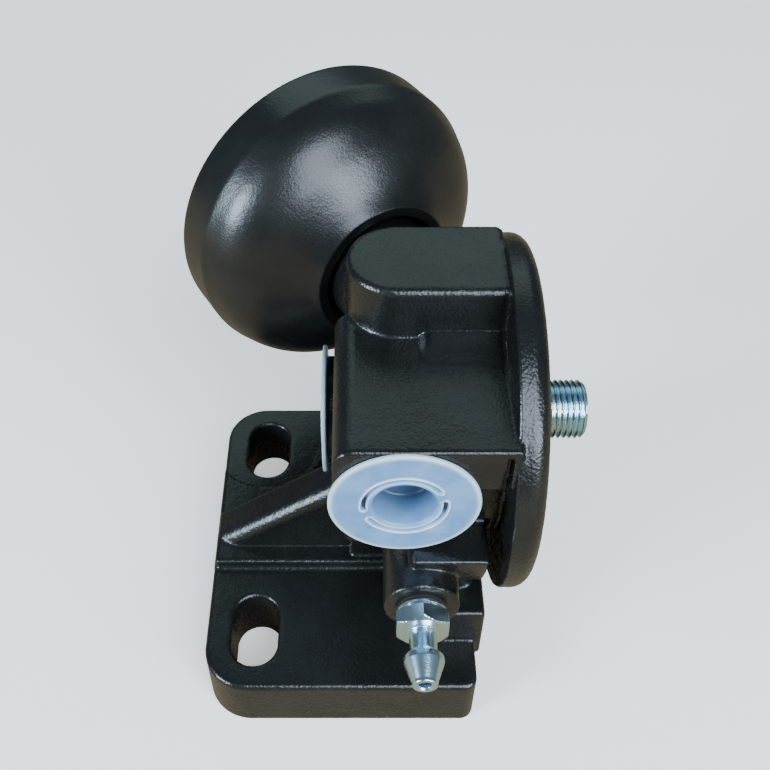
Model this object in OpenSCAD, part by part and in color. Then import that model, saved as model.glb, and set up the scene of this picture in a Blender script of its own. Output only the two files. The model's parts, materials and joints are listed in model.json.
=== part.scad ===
// Fuel filter head with a hand primer pump, for a spin-on filter.
// Z is up from the mounting face, X runs along the filter's axis, and the origin
// is midway between the two bolt slots, on the mounting face.

/* [Mounting plate] */
// Thickness of the mounting plate
plate_t = 19; // [14:0.5:24]
// Distance between the centres of the two bolt slots
slot_pitch = 67.5; // [60:0.5:84]
// Width of a bolt slot
slot_w = 13.5; // [11:0.5:17]
// End-to-end length of a bolt slot
slot_l = 22.5; // [18:0.5:26]
// Metal between a slot's end and the plate's edge
slot_land = 7; // [5:0.5:12]
// Metal between the slot line and the plate's left edge
plate_edge = 14; // [12:0.5:20]
// Radius of the plate's corners at its left edge
plate_corner_r = 13; // [6:0.5:14]
// Height of the raised band across the middle of the plate
band_rise = 3; // [1:0.5:5]

/* [Filter flange] */
// Diameter of the flange that the filter seals on
flange_d = 95; // [88:0.5:114]
// Thickness of the flange
flange_t = 7.8; // [6:0.2:9]
// Distance from the slot line to the filter's seat
face_x = 74.2; // [74:0.2:86]
// Height of the filter's axis above the mounting face
axis_h = 77.8; // [70:0.2:94]
// Outer radius of the chamber sunk into the flange
chamber_r = 29; // [28.9:0.1:31]
// Depth of the chamber
chamber_depth = 6; // [4:0.5:7]
// Diameter of the filter stud
stud_d = 16; // [14:0.5:18]
// Free length of the stud beyond the seat
stud_free = 16.7; // [12:0.1:22]
// Diameter of the fuel passage through the stud
stud_bore_d = 8; // [6:0.5:9]

/* [Body] */
// Height of the upper box above the filter's axis
box_rise = 45; // [42:0.5:48]
// Width of the upper box
box_w = 26; // [24:0.5:28]
// Height of the front block above the filter's axis
block_rise = 30; // [27:0.5:34]
// How far the front block's face lies inside the flange's rim
block_inset = 7.5; // [5.5:0.5:9.5]
// Distance from the slot line to the body's left wall
body_x = 26; // [24:0.5:27]
// Height of the ledge under the front block, below the filter's axis
ledge_drop = 6.5; // [4:0.5:8]
// Width of the foot that joins body and plate
foot_w = 74; // [64:1:80]
// Thickness of the gusset on the plate
gusset_t = 12; // [8:0.5:16]

/* [Ports] */
// Outside diameter of the port thread
port_d = 22; // [18:0.5:24]
// Depth of a port's thread
port_depth = 14; // [12:0.5:15]
// Diameter of a transit plug's flange
plug_flange_d = 36.5; // [32:0.5:37]
// Thickness of a transit plug's flange
plug_flange_t = 1.2; // [1:0.1:2.5]
// Depth of a plug's skirt in its port
plug_skirt = 9; // [6:0.5:11]
// Drop of the left port below the filter's axis
side_port_drop = 12.6; // [10:0.2:12.8]

/* [Bleed screw] */
// Diameter of the bleed screw's thread
bleed_d = 8; // [7:0.5:9]
// Pitch of the bleed screw's thread
bleed_pitch = 1.25; // [1:0.05:1.5]
// Width across the flats of the bleed screw
bleed_af = 13; // [11:0.5:14]
// Diameter of the hole through the bleed screw
bleed_hole_d = 3.2; // [2.5:0.1:3.5]
// How far the bleed boss stands out beyond the flange's rim
bleed_proud = 2.5; // [0.5:0.5:6.5]

/* [Hand pump] */
// Diameter of the knob
knob_d = 90; // [80:0.5:108]
// Length of the knob's straight rim
knob_rim = 13; // [12:0.5:18]
// Height of the knob's dome, and of the neck inside it
bell_l = 25; // [22:0.5:25]
// Wall thickness of the knob
knob_wall = 3; // [2.5:0.1:4]
// Stroke of the pump
stroke = 6; // [4:0.5:6.5]
// Diameter of the pump's bore
pump_bore_d = 21; // [18:0.5:21.5]
// Diameter of the pump's stem
stem_d = 10; // [8:0.5:11]
// Outside diameter of the pump's tube
tube_d = 33; // [32:0.5:34.5]
// Turn of the pump's axis away from straight back
pump_turn = 31.5; // [28:0.5:34]

/* [Hidden] */
$fn = 96;
eps = 0.01;
run_gap = 0.05;

casting_black = [0.06, 0.06, 0.065];
zinc = [0.72, 0.75, 0.8];
plug_blue = [0.72, 0.78, 0.84];
rubber_black = [0.03, 0.03, 0.03];
spring_steel = [0.55, 0.56, 0.58];

// Plate and flange places
plate_half = slot_pitch / 2 + slot_l / 2 + slot_land;
flange_r = flange_d / 2;
flange_x = face_x - flange_t;
chamber_x = face_x - chamber_depth;
rim_r = 4.5;
drum_r = flange_r - 15;
block_front = flange_r - block_inset;
bleed_reach = flange_r + bleed_proud;
lip_r = flange_r - 2;
plate_x1 = face_x - 10.7;
plate_square_r = 4;
drum_x = flange_x - 22;
stud_in = 18;
stud_root_r = stud_d / 2 - 0.8;
hub_drop = 3;
stud_x = face_x - stud_in;
stud_cham = 1.2;

// Body places
box_y = 10;
block_top = axis_h + block_rise;
foot_top = plate_t + 14;
foot_x0 = body_x + 20;
pedestal_inset = 9;
neck_w = 20;
core_y = -6;
core_w = 31;
ledge_z = axis_h - ledge_drop;
under_block = block_top - 14;
wall_low = ledge_z - 10;
core_low = ledge_z - 18;
recess_y = block_front - 7;
block_edge_r = 5;
front_port_x = body_x + 15;
front_port = [front_port_x, -block_front, block_top - 18];
side_stand = 4.8;
side_port_y = 11.5;
side_port = [body_x - side_stand, side_port_y, axis_h - side_port_drop];
port_r = port_d / 2 - 0.75;
boss_r = 15;
passage_r = 3;
gusset_low_x = 1 - plate_edge;
gusset_low_z = plate_t + 3.5;
gusset_slope = 0.74;
gusset_y = 5.5;

// Bleed places
bleed_x = drum_x + 1.6;
bleed_at = [bleed_x, -bleed_reach, axis_h - 19];
bleed_cross_y = -20;
bleed_boss_r = 9.6;
bleed_thread_l = 14;
bleed_collar_t = 1.5;
bleed_hex_t = 4.8;
bleed_neck_l = 5.7;
washer_t = 0.8;

// Pump places, along its own axis: zero at the knob's ridge, positive towards the palm
knob_r = knob_d / 2;
knob_at = [24, 60, axis_h + 15.7];
tube_r = tube_d / 2;
tube_end = -18;
cavity_r = tube_r + 1.5;
mouth_r = cavity_r + 2.5;
gland_thread_l = 7;
gland_head_t = 2.5;
gland_in = tube_end - gland_thread_l;
gland_out = tube_end + gland_head_t;
liner_wall = 1.5;
liner_r = pump_bore_d / 2 + liner_wall;
gland_r = liner_r + 1.5;
gland_head_r = tube_r - 1;
piston_t = 5.5;
piston_top = gland_in - 0.5;
piston_low = piston_top - piston_t;
chamber_floor = piston_low - stroke - 8;
liner_low = piston_low - stroke - 1;
stem_r = stem_d / 2;
web_t = 4;
web_low = gland_out + stroke + 1;
web_top = web_low + web_t;
dome_low = -0.56 * bell_l;
// Skirt under the dome: shares of the way out to the dome, and of the bell's height
skirt = [[0.09, 0.03], [0.26, 0.13], [0.51, 0.24], [0.78, 0.34]];
hub_r = stem_r + 4;

// Inlet valve places, along the front port's axis
valve_r = 7;
inlet_seat_y = -block_front + port_depth + 4;
inlet_pocket_y = inlet_seat_y + 11;

// Outlet valve places, parallel to the filter's axis
outlet_at = [chamber_x, 16, axis_h + 18.2];
outlet_r = 4.5;
outlet_depth = 7;
outlet_run = 13.2;

// Turns a child drawn along +Z so that it lies along the pump's axis
module on_pump() {
    translate(knob_at) rotate([0, 0, pump_turn]) rotate([-90, 0, 0]) children();
}

// Turns a child drawn along +Z so that it points to the front, along -Y
module to_front(at) {
    translate(at) rotate([90, 0, 0]) children();
}

// Turns a child drawn along +Z so that it points to the left, along -X
module to_left(at) {
    translate(at) rotate([0, -90, 0]) children();
}

// Turns a child drawn along +Z so that it points along the filter's axis
module to_filter(x) {
    translate([x, 0, axis_h]) rotate([0, 90, 0]) children();
}

// Ring with a rectangular section, from z0 to z1
module ring(r_out, r_in, z0, z1) {
    translate([0, 0, z0]) difference() {
        cylinder(r = r_out, h = z1 - z0);
        translate([0, 0, -1]) cylinder(r = r_in, h = z1 - z0 + 2);
    }
}

// Ring with a round section
module o_ring(mean_r, section_r) {
    rotate_extrude() translate([mean_r, 0]) circle(r = section_r, $fn = 32);
}

// Coil spring as one closed ring for each turn, joined by a thin sleeve of wire
module coil(mean_r, wire_r, z0, z1, turns) {
    pitch = (z1 - z0 - 2 * wire_r) / turns;
    for (i = [0 : turns])
        translate([0, 0, z0 + wire_r + i * pitch]) o_ring(mean_r, wire_r);
    for (i = [0 : turns - 1], side = [0, 180])
        rotate([0, 0, side + 90 * (i % 2)])
            translate([mean_r, 0, z0 + wire_r + i * pitch]) cylinder(r = wire_r * 0.7, h = pitch, $fn = 24);
}

// Flat outline with rounded corners between two corners
module rounded_rect(x0, y0, x1, y1, r) {
    translate([x0 + r, y0]) square([x1 - x0 - 2 * r, y1 - y0]);
    translate([x0, y0 + r]) square([x1 - x0, y1 - y0 - 2 * r]);
    for (x = [x0 + r, x1 - r], y = [y0 + r, y1 - r])
        translate([x, y]) circle(r = r);
}

module slot_outline(y) {
    reach = (slot_l - slot_w) / 2;
    translate([-slot_w / 2, y - reach]) square([slot_w, 2 * reach]);
    for (side = [-1, 1])
        translate([0, y + side * reach]) circle(r = slot_w / 2);
}

module plate_solid() {
    linear_extrude(plate_t) difference() {
        union() {
            rounded_rect(-plate_edge, -plate_half, plate_x1, plate_half, plate_corner_r);
            rounded_rect(body_x, -plate_half, plate_x1, plate_half, plate_square_r);
        }
        for (side = [-1, 1])
            slot_outline(side * slot_pitch / 2);
    }
    translate([0, 0, plate_t - eps]) linear_extrude(band_rise) difference() {
        translate([-plate_edge + 1, -13]) square([body_x + plate_edge, 26]);
        for (side = [-1, 1])
            translate([0, side * slot_pitch / 2]) circle(r = slot_l / 2 + 5.5);
    }
}

module gusset_solid() {
    top_x = body_x + 4;
    rise = (top_x - gusset_low_x) * gusset_slope;
    translate([0, gusset_y, 0]) rotate([90, 0, 0]) linear_extrude(gusset_t)
        polygon([
            [gusset_low_x, plate_t - 1], [top_x, plate_t - 1],
            [top_x, gusset_low_z + rise], [gusset_low_x, gusset_low_z]
        ]);
}

module body_solid() {
    foot_x1 = plate_x1 + 2;
    wall = flange_x - body_x;
    // Foot and pedestal behind the filter's side, and the narrow neck left of them
    translate([foot_x0, -foot_w / 2, plate_t - 1]) cube([foot_x1 - foot_x0, foot_w, foot_top - plate_t + 1]);
    translate([foot_x0, -foot_w / 2 + pedestal_inset, foot_top - 1])
        cube([flange_x - 4 - foot_x0, foot_w - 2 * pedestal_inset, axis_h - foot_top]);
    translate([body_x + 2, -neck_w / 2, plate_t - 1]) cube([wall - 6, neck_w, axis_h - plate_t]);
    // Drum behind the flange, and the wide lip round its lower half
    to_filter(drum_x) cylinder(r = drum_r, h = flange_x - drum_x + eps);
    intersection() {
        to_filter(drum_x - 1) cylinder(r = lip_r, h = flange_x - 3 - drum_x);
        translate([body_x, -lip_r - 1, axis_h - lip_r - 1]) cube([wall, lip_r + 1, lip_r + 1 - ledge_drop]);
    }
    // Flange with its rounded rim
    to_filter(flange_x) rotate_extrude() union() {
        square([flange_r, flange_t - rim_r]);
        square([flange_r - rim_r, flange_t]);
        translate([flange_r - rim_r, flange_t - rim_r]) circle(r = rim_r);
    }
    // Upper box with a round left end
    translate([0, box_y, axis_h]) linear_extrude(box_rise) {
        translate([body_x + 1 + box_w / 2, 0]) circle(r = box_w / 2);
        translate([body_x + 1 + box_w / 2, -box_w / 2]) square([wall - box_w / 2, box_w]);
    }
    // Front block with a rounded left edge, and the wall under it
    translate([0, 5, 0]) rotate([90, 0, 0]) linear_extrude(block_front + 5) {
        translate([body_x - 2 + block_edge_r, block_top - block_edge_r]) circle(r = block_edge_r);
        translate([body_x - 2 + block_edge_r, under_block])
            square([wall + 2 - block_edge_r, block_top - under_block]);
        translate([body_x - 2, under_block])
            square([block_edge_r * 2, block_top - under_block - block_edge_r]);
    }
    translate([body_x, -recess_y, wall_low])
        cube([drum_x + 6 - body_x, recess_y, under_block - wall_low + 1]);
    // Core round the side port's and the pump's passages
    translate([body_x, core_y, core_low]) cube([wall - 2, core_w, axis_h - core_low]);
}

module boss_solids() {
    to_front([front_port[0], front_port[1] + 20, front_port[2]]) cylinder(r = boss_r + 2, h = 20);
    to_left([body_x + 10, side_port[1], side_port[2]]) cylinder(r = boss_r, h = body_x + 10 - side_port[0]);
    to_front([bleed_at[0], bleed_at[1] + 30, bleed_at[2]]) cylinder(r = bleed_boss_r, h = 30);
    on_pump() translate([0, 0, chamber_floor - 4]) cylinder(r = tube_r, h = tube_end - chamber_floor + 4);
    on_pump() translate([0, 0, chamber_floor - 4]) cylinder(r = tube_r + 3, h = 14);
}

module casting_cuts() {
    // Port threads and the passages behind them
    to_front(front_port) translate([0, 0, -port_depth]) cylinder(r = port_r, h = port_depth + 1);
    to_front([front_port[0], inlet_pocket_y, front_port[2]])
        cylinder(r = valve_r, h = inlet_pocket_y - front_port[1] - port_depth + 1);
    to_front([front_port[0], 14, front_port[2]]) cylinder(r = passage_r, h = 14 - inlet_pocket_y + 1);
    to_left(side_port) translate([0, 0, -port_depth]) cylinder(r = port_r, h = port_depth + 1);
    to_left([stud_x - 4, side_port[1], side_port[2]])
        cylinder(r = passage_r, h = stud_x - 4 - side_port[0] - port_depth + 1);
    // Cross passage from the side port up to the stud's bore
    rise = axis_h - side_port[2];
    translate([stud_x - 6, side_port[1], side_port[2]]) rotate([atan2(side_port[1], rise), 0, 0])
        cylinder(r = passage_r, h = norm([side_port[1], rise]));
    to_filter(stud_x - 9) cylinder(r = passage_r + 1, h = 10);
    // Filter chamber and the stud's hole
    to_filter(chamber_x) ring(chamber_r, stud_d / 2 + 5, 0, chamber_depth + 1);
    to_filter(face_x - hub_drop) cylinder(r = chamber_r, h = hub_drop + 1);
    to_filter(stud_x) cylinder(r = stud_root_r, h = stud_in + 1);
    // Outlet valve's pocket and passage
    translate(outlet_at) rotate([0, 90, 0]) {
        translate([0, 0, -outlet_depth]) cylinder(r = outlet_r, h = outlet_depth + 1);
        translate([0, 0, -outlet_depth - outlet_run]) cylinder(r = 2.5, h = outlet_run + 1);
    }
    // Bleed passage
    to_front(bleed_at) translate([0, 0, -bleed_thread_l - 8])
        cylinder(r = bleed_d / 2 + run_gap, h = bleed_thread_l + 9);
    translate([bleed_x, bleed_cross_y, bleed_at[2]]) {
        rotate([90, 0, 0]) cylinder(r = 2, h = bleed_reach + bleed_cross_y - bleed_thread_l - 7);
        rotate([0, 90, 0]) cylinder(r = 2, h = chamber_x - bleed_x + 1);
    }
    // Pump bore with the gland's thread
    on_pump() translate([0, 0, chamber_floor]) cylinder(r = pump_bore_d / 2, h = tube_end - chamber_floor);
    on_pump() translate([0, 0, liner_low]) cylinder(r = liner_r, h = tube_end - liner_low + 1);
    on_pump() translate([0, 0, gland_in]) cylinder(r = gland_r, h = gland_thread_l + 1);
}

module head_casting() {
    color(casting_black) difference() {
        union() {
            plate_solid();
            gusset_solid();
            body_solid();
            boss_solids();
        }
        casting_cuts();
    }
}

module filter_stud() {
    color(zinc) to_filter(stud_x) rotate_extrude() polygon([
        [stud_bore_d / 2, 0], [stud_root_r, 0], [stud_root_r, stud_in], [stud_d / 2, stud_in],
        [stud_d / 2, stud_in + stud_free - stud_cham],
        [stud_d / 2 - stud_cham, stud_in + stud_free], [stud_bore_d / 2, stud_in + stud_free]
    ]);
}

module barrel_liner() {
    color(spring_steel) on_pump() ring(liner_r, pump_bore_d / 2, liner_low, gland_in);
}

module gland_nut() {
    color(zinc) on_pump() difference() {
        union() {
            ring(gland_r, stem_r + 2, gland_in, tube_end);
            ring(gland_head_r, stem_r + 2, tube_end, gland_out);
        }
        translate([0, 0, gland_in + 1.2]) cylinder(r = stem_r + 3, h = 2.2);
        translate([0, 0, gland_out - 2]) cylinder(r = stem_r + 3, h = 3);
    }
}

module guide_bush() {
    color([0.6, 0.45, 0.2]) on_pump() ring(stem_r + 2, stem_r + run_gap, gland_in + 3.6, gland_out - 2.2);
}

module gland_o_ring() {
    color(rubber_black) on_pump() ring(stem_r + 2.9, stem_r + run_gap, gland_in + 1.3, gland_in + 3.3);
}

module stem_wiper() {
    color(rubber_black) on_pump() ring(stem_r + 2.9, stem_r + run_gap, gland_out - 1.9, gland_out - 0.2);
}

// Radius of the knob's dome at a height below its ridge: a quarter of an ellipse
function dome_r(h) = knob_r * sqrt(1 - pow(h / bell_l, 2));

// Knob: dome, neck round the tube, web on the stem, and a hollow behind the palm cap
module pump_knob() {
    steps = 6;
    under_r = dome_r(dome_low);
    color(casting_black) on_pump() rotate_extrude() difference() {
        polygon(concat(
            [[stem_r - 1.9, web_low], [cavity_r, web_low], [cavity_r, -bell_l], [mouth_r, -bell_l]],
            [for (share = skirt) [mouth_r + share[0] * (under_r - mouth_r), bell_l * (share[1] - 1)]],
            [for (i = [0 : steps]) [dome_r(dome_low * (1 - i / steps)), dome_low * (1 - i / steps)]],
            [[knob_r, knob_rim - 3], [knob_r - 2, knob_rim], [stem_r - 1.9, knob_rim]]
        ));
        polygon([
            [hub_r, web_top], [cavity_r + knob_wall, web_top], [cavity_r + knob_wall, dome_low + 2],
            [under_r - knob_wall - 1.5, dome_low + 2], [knob_r - knob_wall - 1.5, dome_low / 4],
            [knob_r - knob_wall, 0], [knob_r - knob_wall, knob_rim + 1], [hub_r, knob_rim + 1]
        ]);
        translate([0, web_top + 3]) square([hub_r + 1, 40]);
    }
}

module knob_cap() {
    seat_r = knob_r - knob_wall - run_gap;
    color(casting_black) on_pump() rotate_extrude() polygon([
        [0, knob_rim - 3], [seat_r - 3, knob_rim - 3], [seat_r - 3, knob_rim - 6], [seat_r, knob_rim - 6],
        [seat_r, knob_rim - 1], [seat_r - 4, knob_rim + 1.4], [seat_r * 0.66, knob_rim + 3.6],
        [seat_r * 0.33, knob_rim + 4.7], [0, knob_rim + 5]
    ]);
}

module knob_washer() {
    color(zinc) on_pump() ring(hub_r - 1, 3.1, web_top + 3, web_top + 4.2);
}

module knob_screw() {
    head_z = web_top + 4.2;
    color(zinc) on_pump() {
        translate([0, 0, head_z]) cylinder(r = 5.77, h = 4, $fn = 6);
        translate([0, 0, web_low - 8]) cylinder(r = 3, h = head_z - web_low + 8 + eps);
    }
}

module pump_stem() {
    color(zinc) on_pump() difference() {
        union() {
            translate([0, 0, piston_top]) cylinder(r = stem_r, h = web_low - piston_top);
            translate([0, 0, piston_low - 2.5]) cylinder(r = stem_r - 1.5, h = piston_t + 2.5 + eps);
        }
        translate([0, 0, web_low - 8]) cylinder(r = 3, h = 9);
    }
}

module piston() {
    color([0.75, 0.62, 0.35]) on_pump() difference() {
        ring(pump_bore_d / 2 - run_gap, stem_r - 1.5, piston_low, piston_top);
        ring(pump_bore_d / 2 + 1, pump_bore_d / 2 - 2, piston_low + 1.7, piston_top - 1.7);
    }
}

module piston_seal() {
    color(rubber_black) on_pump()
        ring(pump_bore_d / 2 - run_gap, pump_bore_d / 2 - 2, piston_low + 1.7, piston_top - 1.7);
}

module piston_clip() {
    color(spring_steel) on_pump() ring(stem_r + 0.8, stem_r - 1.5, piston_low - 1.2, piston_low);
}

module return_spring() {
    color(spring_steel) on_pump()
        coil(pump_bore_d / 2 - 1.7, 0.7, chamber_floor + 0.05, piston_low - 0.05, 4);
}

module inlet_valve_seat() {
    color([0.75, 0.62, 0.35]) to_front([front_port[0], inlet_seat_y + 2, front_port[2]])
        ring(valve_r, passage_r, 0, 2);
}

module inlet_valve_disc() {
    color(rubber_black) to_front([front_port[0], inlet_seat_y + 2, front_port[2]])
        translate([0, 0, -1.5]) cylinder(r = valve_r - 1.5, h = 1.5);
}

module inlet_valve_spring() {
    low = inlet_seat_y + 3.5;
    color(spring_steel) to_front([front_port[0], inlet_pocket_y, front_port[2]])
        coil(valve_r - 3, 0.4, 0.02, inlet_pocket_y - low - 0.02, 3);
}

module outlet_valve_seat() {
    color([0.75, 0.62, 0.35]) translate(outlet_at) rotate([0, 90, 0])
        ring(outlet_r, 2, -outlet_depth, -outlet_depth + 1.8);
}

module outlet_valve_disc() {
    color(rubber_black) translate(outlet_at) rotate([0, 90, 0])
        translate([0, 0, -outlet_depth + 1.8]) cylinder(r = outlet_r - 0.8, h = 1.2);
}

module outlet_valve_spring() {
    color(spring_steel) translate(outlet_at) rotate([0, 90, 0])
        coil(outlet_r - 1.6, 0.35, -outlet_depth + 3.02, -0.6, 2);
}

module bleed_screw() {
    hex_z = washer_t + bleed_collar_t;
    neck_z = hex_z + bleed_hex_t;
    barb_z = bleed_neck_l + 1;
    color(zinc) to_front(bleed_at) difference() {
        union() {
            translate([0, 0, -bleed_thread_l]) cylinder(r = bleed_d / 2, h = bleed_thread_l + washer_t + eps);
            translate([0, 0, washer_t]) cylinder(r = bleed_af / 2, h = bleed_collar_t + eps);
            translate([0, 0, hex_z]) cylinder(d = bleed_af / cos(30), h = bleed_hex_t, $fn = 6);
            translate([0, 0, neck_z - eps]) rotate_extrude() polygon([
                [0, 0], [3.4, 0], [3.4, bleed_neck_l], [5, barb_z], [5, barb_z + 1.6],
                [3.15, barb_z + 6.6], [3.15, barb_z + 7.6], [0, barb_z + 7.6]
            ]);
        }
        translate([0, 0, -bleed_thread_l + 4]) cylinder(d = bleed_hole_d, h = 60);
        translate([-bleed_d, 0, -bleed_thread_l + 5.6]) rotate([0, 90, 0])
            cylinder(d = bleed_hole_d * 0.6, h = 2 * bleed_d);
    }
}

module bleed_washer() {
    color(rubber_black) to_front(bleed_at) ring(bleed_af / 2 - 0.3, bleed_d / 2 + run_gap, 0, washer_t);
}

// Transit plug: a flange with a tear ring, a recessed cup and a hollow skirt
module port_plug() {
    skirt_r = port_r - run_gap;
    flange_r = plug_flange_d / 2;
    groove_r = port_r - 0.5;
    cup_r = port_r - 2.5;
    color(plug_blue) difference() {
        union() {
            cylinder(r = flange_r, h = plug_flange_t);
            translate([0, 0, -plug_skirt]) cylinder(r = skirt_r, h = plug_skirt + eps);
        }
        translate([0, 0, -plug_skirt + 1.4]) cylinder(r = cup_r, h = plug_skirt + plug_flange_t);
        translate([0, 0, plug_flange_t - 0.6]) ring(groove_r + 0.45, groove_r - 0.45, 0, 1);
    }
}

module port_plug_front() {
    to_front(front_port) port_plug();
}

module port_plug_side() {
    to_left(side_port) port_plug();
}

head_casting();
filter_stud();
barrel_liner();
gland_nut();
guide_bush();
gland_o_ring();
stem_wiper();
pump_knob();
knob_cap();
knob_screw();
knob_washer();
pump_stem();
piston();
piston_seal();
piston_clip();
return_spring();
inlet_valve_seat();
inlet_valve_disc();
inlet_valve_spring();
outlet_valve_seat();
outlet_valve_disc();
outlet_valve_spring();
bleed_screw();
bleed_washer();
port_plug_front();
port_plug_side();
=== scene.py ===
"""Looks of a fuel filter head with a hand primer pump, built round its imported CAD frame."""

import json
import math

import bpy
import numpy as np
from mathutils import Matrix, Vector


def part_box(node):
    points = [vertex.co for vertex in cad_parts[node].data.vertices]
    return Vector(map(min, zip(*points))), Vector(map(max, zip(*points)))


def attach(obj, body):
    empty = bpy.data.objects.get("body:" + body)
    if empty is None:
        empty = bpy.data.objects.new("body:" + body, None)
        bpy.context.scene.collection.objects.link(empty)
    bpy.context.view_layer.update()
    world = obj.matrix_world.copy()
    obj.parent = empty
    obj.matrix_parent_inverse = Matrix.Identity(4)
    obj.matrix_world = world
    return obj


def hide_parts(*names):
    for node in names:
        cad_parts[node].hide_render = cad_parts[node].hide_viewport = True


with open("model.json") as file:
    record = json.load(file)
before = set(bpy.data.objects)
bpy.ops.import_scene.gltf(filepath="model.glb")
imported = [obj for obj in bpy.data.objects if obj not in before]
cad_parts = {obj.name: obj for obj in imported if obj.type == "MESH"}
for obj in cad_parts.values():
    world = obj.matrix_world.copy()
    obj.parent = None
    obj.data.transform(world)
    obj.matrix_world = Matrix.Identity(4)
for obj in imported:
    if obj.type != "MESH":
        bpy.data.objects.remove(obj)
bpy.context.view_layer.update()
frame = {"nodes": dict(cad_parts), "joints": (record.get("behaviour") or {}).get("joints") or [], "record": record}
MM = 0.001
MOUNTS = {m["name"]: m for m in frame["record"]["mounts"]}
JOINTS = {j["name"]: j for j in frame["joints"]}


def millimetres(point):
    return np.array(point, float) / MM


# ---------------------------------------------------------------- places taken from the frame

CASTING_LOW, CASTING_HIGH = (millimetres(c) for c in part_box("head_casting"))
STUD_AT = millimetres(MOUNTS["filter_stud"]["pos_m"])
STUD_LOW, STUD_HIGH = (millimetres(c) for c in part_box("filter_stud"))
AXIS_H = STUD_AT[2]
SEAT_X = millimetres(MOUNTS["filter_seat"]["pos_m"])[0]
SLOTS = MOUNTS["mounting_slots"]["dims"]
SLOT_R = SLOTS["hole_r_mm"]
SLOT_HALF = SLOTS["slot_length_mm"] / 2
SLOT_Y = SLOTS["spacing_y_mm"] / 2
FRONT_PORT = millimetres(MOUNTS["front_port"]["pos_m"])
SIDE_PORT = millimetres(MOUNTS["side_port"]["pos_m"])
WASHER_LOW, WASHER_HIGH = (millimetres(c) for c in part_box("bleed_washer"))
WASHER_MID = (WASHER_LOW + WASHER_HIGH) / 2
BLEED_AT = np.array([WASHER_MID[0], WASHER_HIGH[1], WASHER_MID[2]])
PUMP_AXIS = np.array(JOINTS["pump_stroke"]["axis"], float)
PUMP_AXIS /= np.linalg.norm(PUMP_AXIS)
# The knob's own zero is the crease; the washer lies this far along the axis from it
CREASE_TO_WASHER = -0.9
PUMP_AT = sum(millimetres(c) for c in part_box("knob_washer")) / 2 - CREASE_TO_WASHER * PUMP_AXIS
PLUG_LOW, PLUG_HIGH = (millimetres(c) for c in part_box("port_plug_front"))

# ---------------------------------------------------------------- driving sizes of the looks, mm

FLANGE_R = CASTING_HIGH[2] - AXIS_H
FLANGE_T = 7.8
FLANGE_X = SEAT_X - FLANGE_T
PLATE_T = 19.0
PLATE_X0 = -14.0
SLOT_TO_EDGE = 7
SIDE_STAND = 4.8
BLOCK_OVER_PORT = 18
BOX_OVER_AXIS = 45
LEDGE_UNDER_AXIS = 6.5
PLATE_X1 = SEAT_X - 10.7
PLATE_HALF = SLOT_Y + SLOT_HALF + SLOT_TO_EDGE
BODY_X = SIDE_PORT[0] + SIDE_STAND
BLOCK_TOP = FRONT_PORT[2] + BLOCK_OVER_PORT
BOX_TOP = AXIS_H + BOX_OVER_AXIS
LEDGE_Z = AXIS_H - LEDGE_UNDER_AXIS
KNOB_R = 45.0
KNOB_RIM = 13.0
BELL_L = 25.0
DOME_LOW = -0.56 * BELL_L
TUBE_R = 16.5
FRONT, LEFT, RIGHT = (0, -1, 0), (-1, 0, 0), (1, 0, 0)
SOFT_MACHINED = 0.1
TINY = 1e-9


# ---------------------------------------------------------------- shader nodes as expressions

class Sock:
    """A shader socket that can be used in sums, products and comparisons."""

    def __init__(self, shader, socket):
        self.shader = shader
        self.socket = socket

    def _math(self, operation, *values):
        return self.shader.add("ShaderNodeMath", {"operation": operation}, dict(enumerate(values)))

    def __add__(self, other): return self._math("ADD", self, other)
    def __radd__(self, other): return self._math("ADD", other, self)
    def __sub__(self, other): return self._math("SUBTRACT", self, other)
    def __rsub__(self, other): return self._math("SUBTRACT", other, self)
    def __mul__(self, other): return self._math("MULTIPLY", self, other)
    def __rmul__(self, other): return self._math("MULTIPLY", other, self)

    def above(self, low, high):
        """Smooth step from 0 at low to 1 at high."""
        return self.shader.add("ShaderNodeMapRange", {"interpolation_type": "SMOOTHSTEP"},
                               {"Value": self, "From Min": low, "From Max": high})


class Shader:
    """A material with a Principled shader, and one method that adds any node."""

    def __init__(self, name, **constants):
        self.material = bpy.data.materials.new(name)
        self.material.use_nodes = True
        self.tree = self.material.node_tree
        self.bsdf = self.tree.nodes["Principled BSDF"]
        for socket, value in constants.items():
            self.bsdf.inputs[socket.replace("_", " ")].default_value = value

    def add(self, kind, settings=None, inputs=None, output=0):
        node = self.tree.nodes.new(kind)
        for key, value in (settings or {}).items():
            setattr(node, key, value)
        for key, value in (inputs or {}).items():
            self.connect(node.inputs[key], value)
        return Sock(self, node.outputs[output])

    def connect(self, target, value):
        if isinstance(value, Sock):
            self.tree.links.new(value.socket, target)
        else:
            target.default_value = value

    def place(self):
        """Object coordinates, in metres."""
        return self.add("ShaderNodeTexCoord", output=3)

    def noise(self, scale, detail, roughness):
        return self.add("ShaderNodeTexNoise", {"noise_dimensions": "3D"}, {
            "Vector": self.place(), "Scale": scale, "Detail": detail, "Roughness": roughness})

    def cells(self, scale, feature="F1", smooth=None):
        inputs = {"Vector": self.place(), "Scale": scale}
        if smooth is not None:
            inputs["Smoothness"] = smooth
        return self.add("ShaderNodeTexVoronoi", {"feature": feature}, inputs)

    def mix(self, factor, first, second):
        """Colour between first and second."""
        return self.add("ShaderNodeMix", {"data_type": "RGBA"}, {0: factor, 6: first, 7: second}, output=2)

    def bump(self, height, strength, distance, normal=None):
        inputs = {"Height": height, "Strength": strength, "Distance": distance}
        if normal is not None:
            inputs["Normal"] = normal
        return self.add("ShaderNodeBump", None, inputs)

    def feed(self, **links):
        for socket, value in links.items():
            self.connect(self.bsdf.inputs[socket.replace("_", " ")], value)
        return self.material


def rgb(r, g, b):
    return (r, g, b, 1.0)


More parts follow.
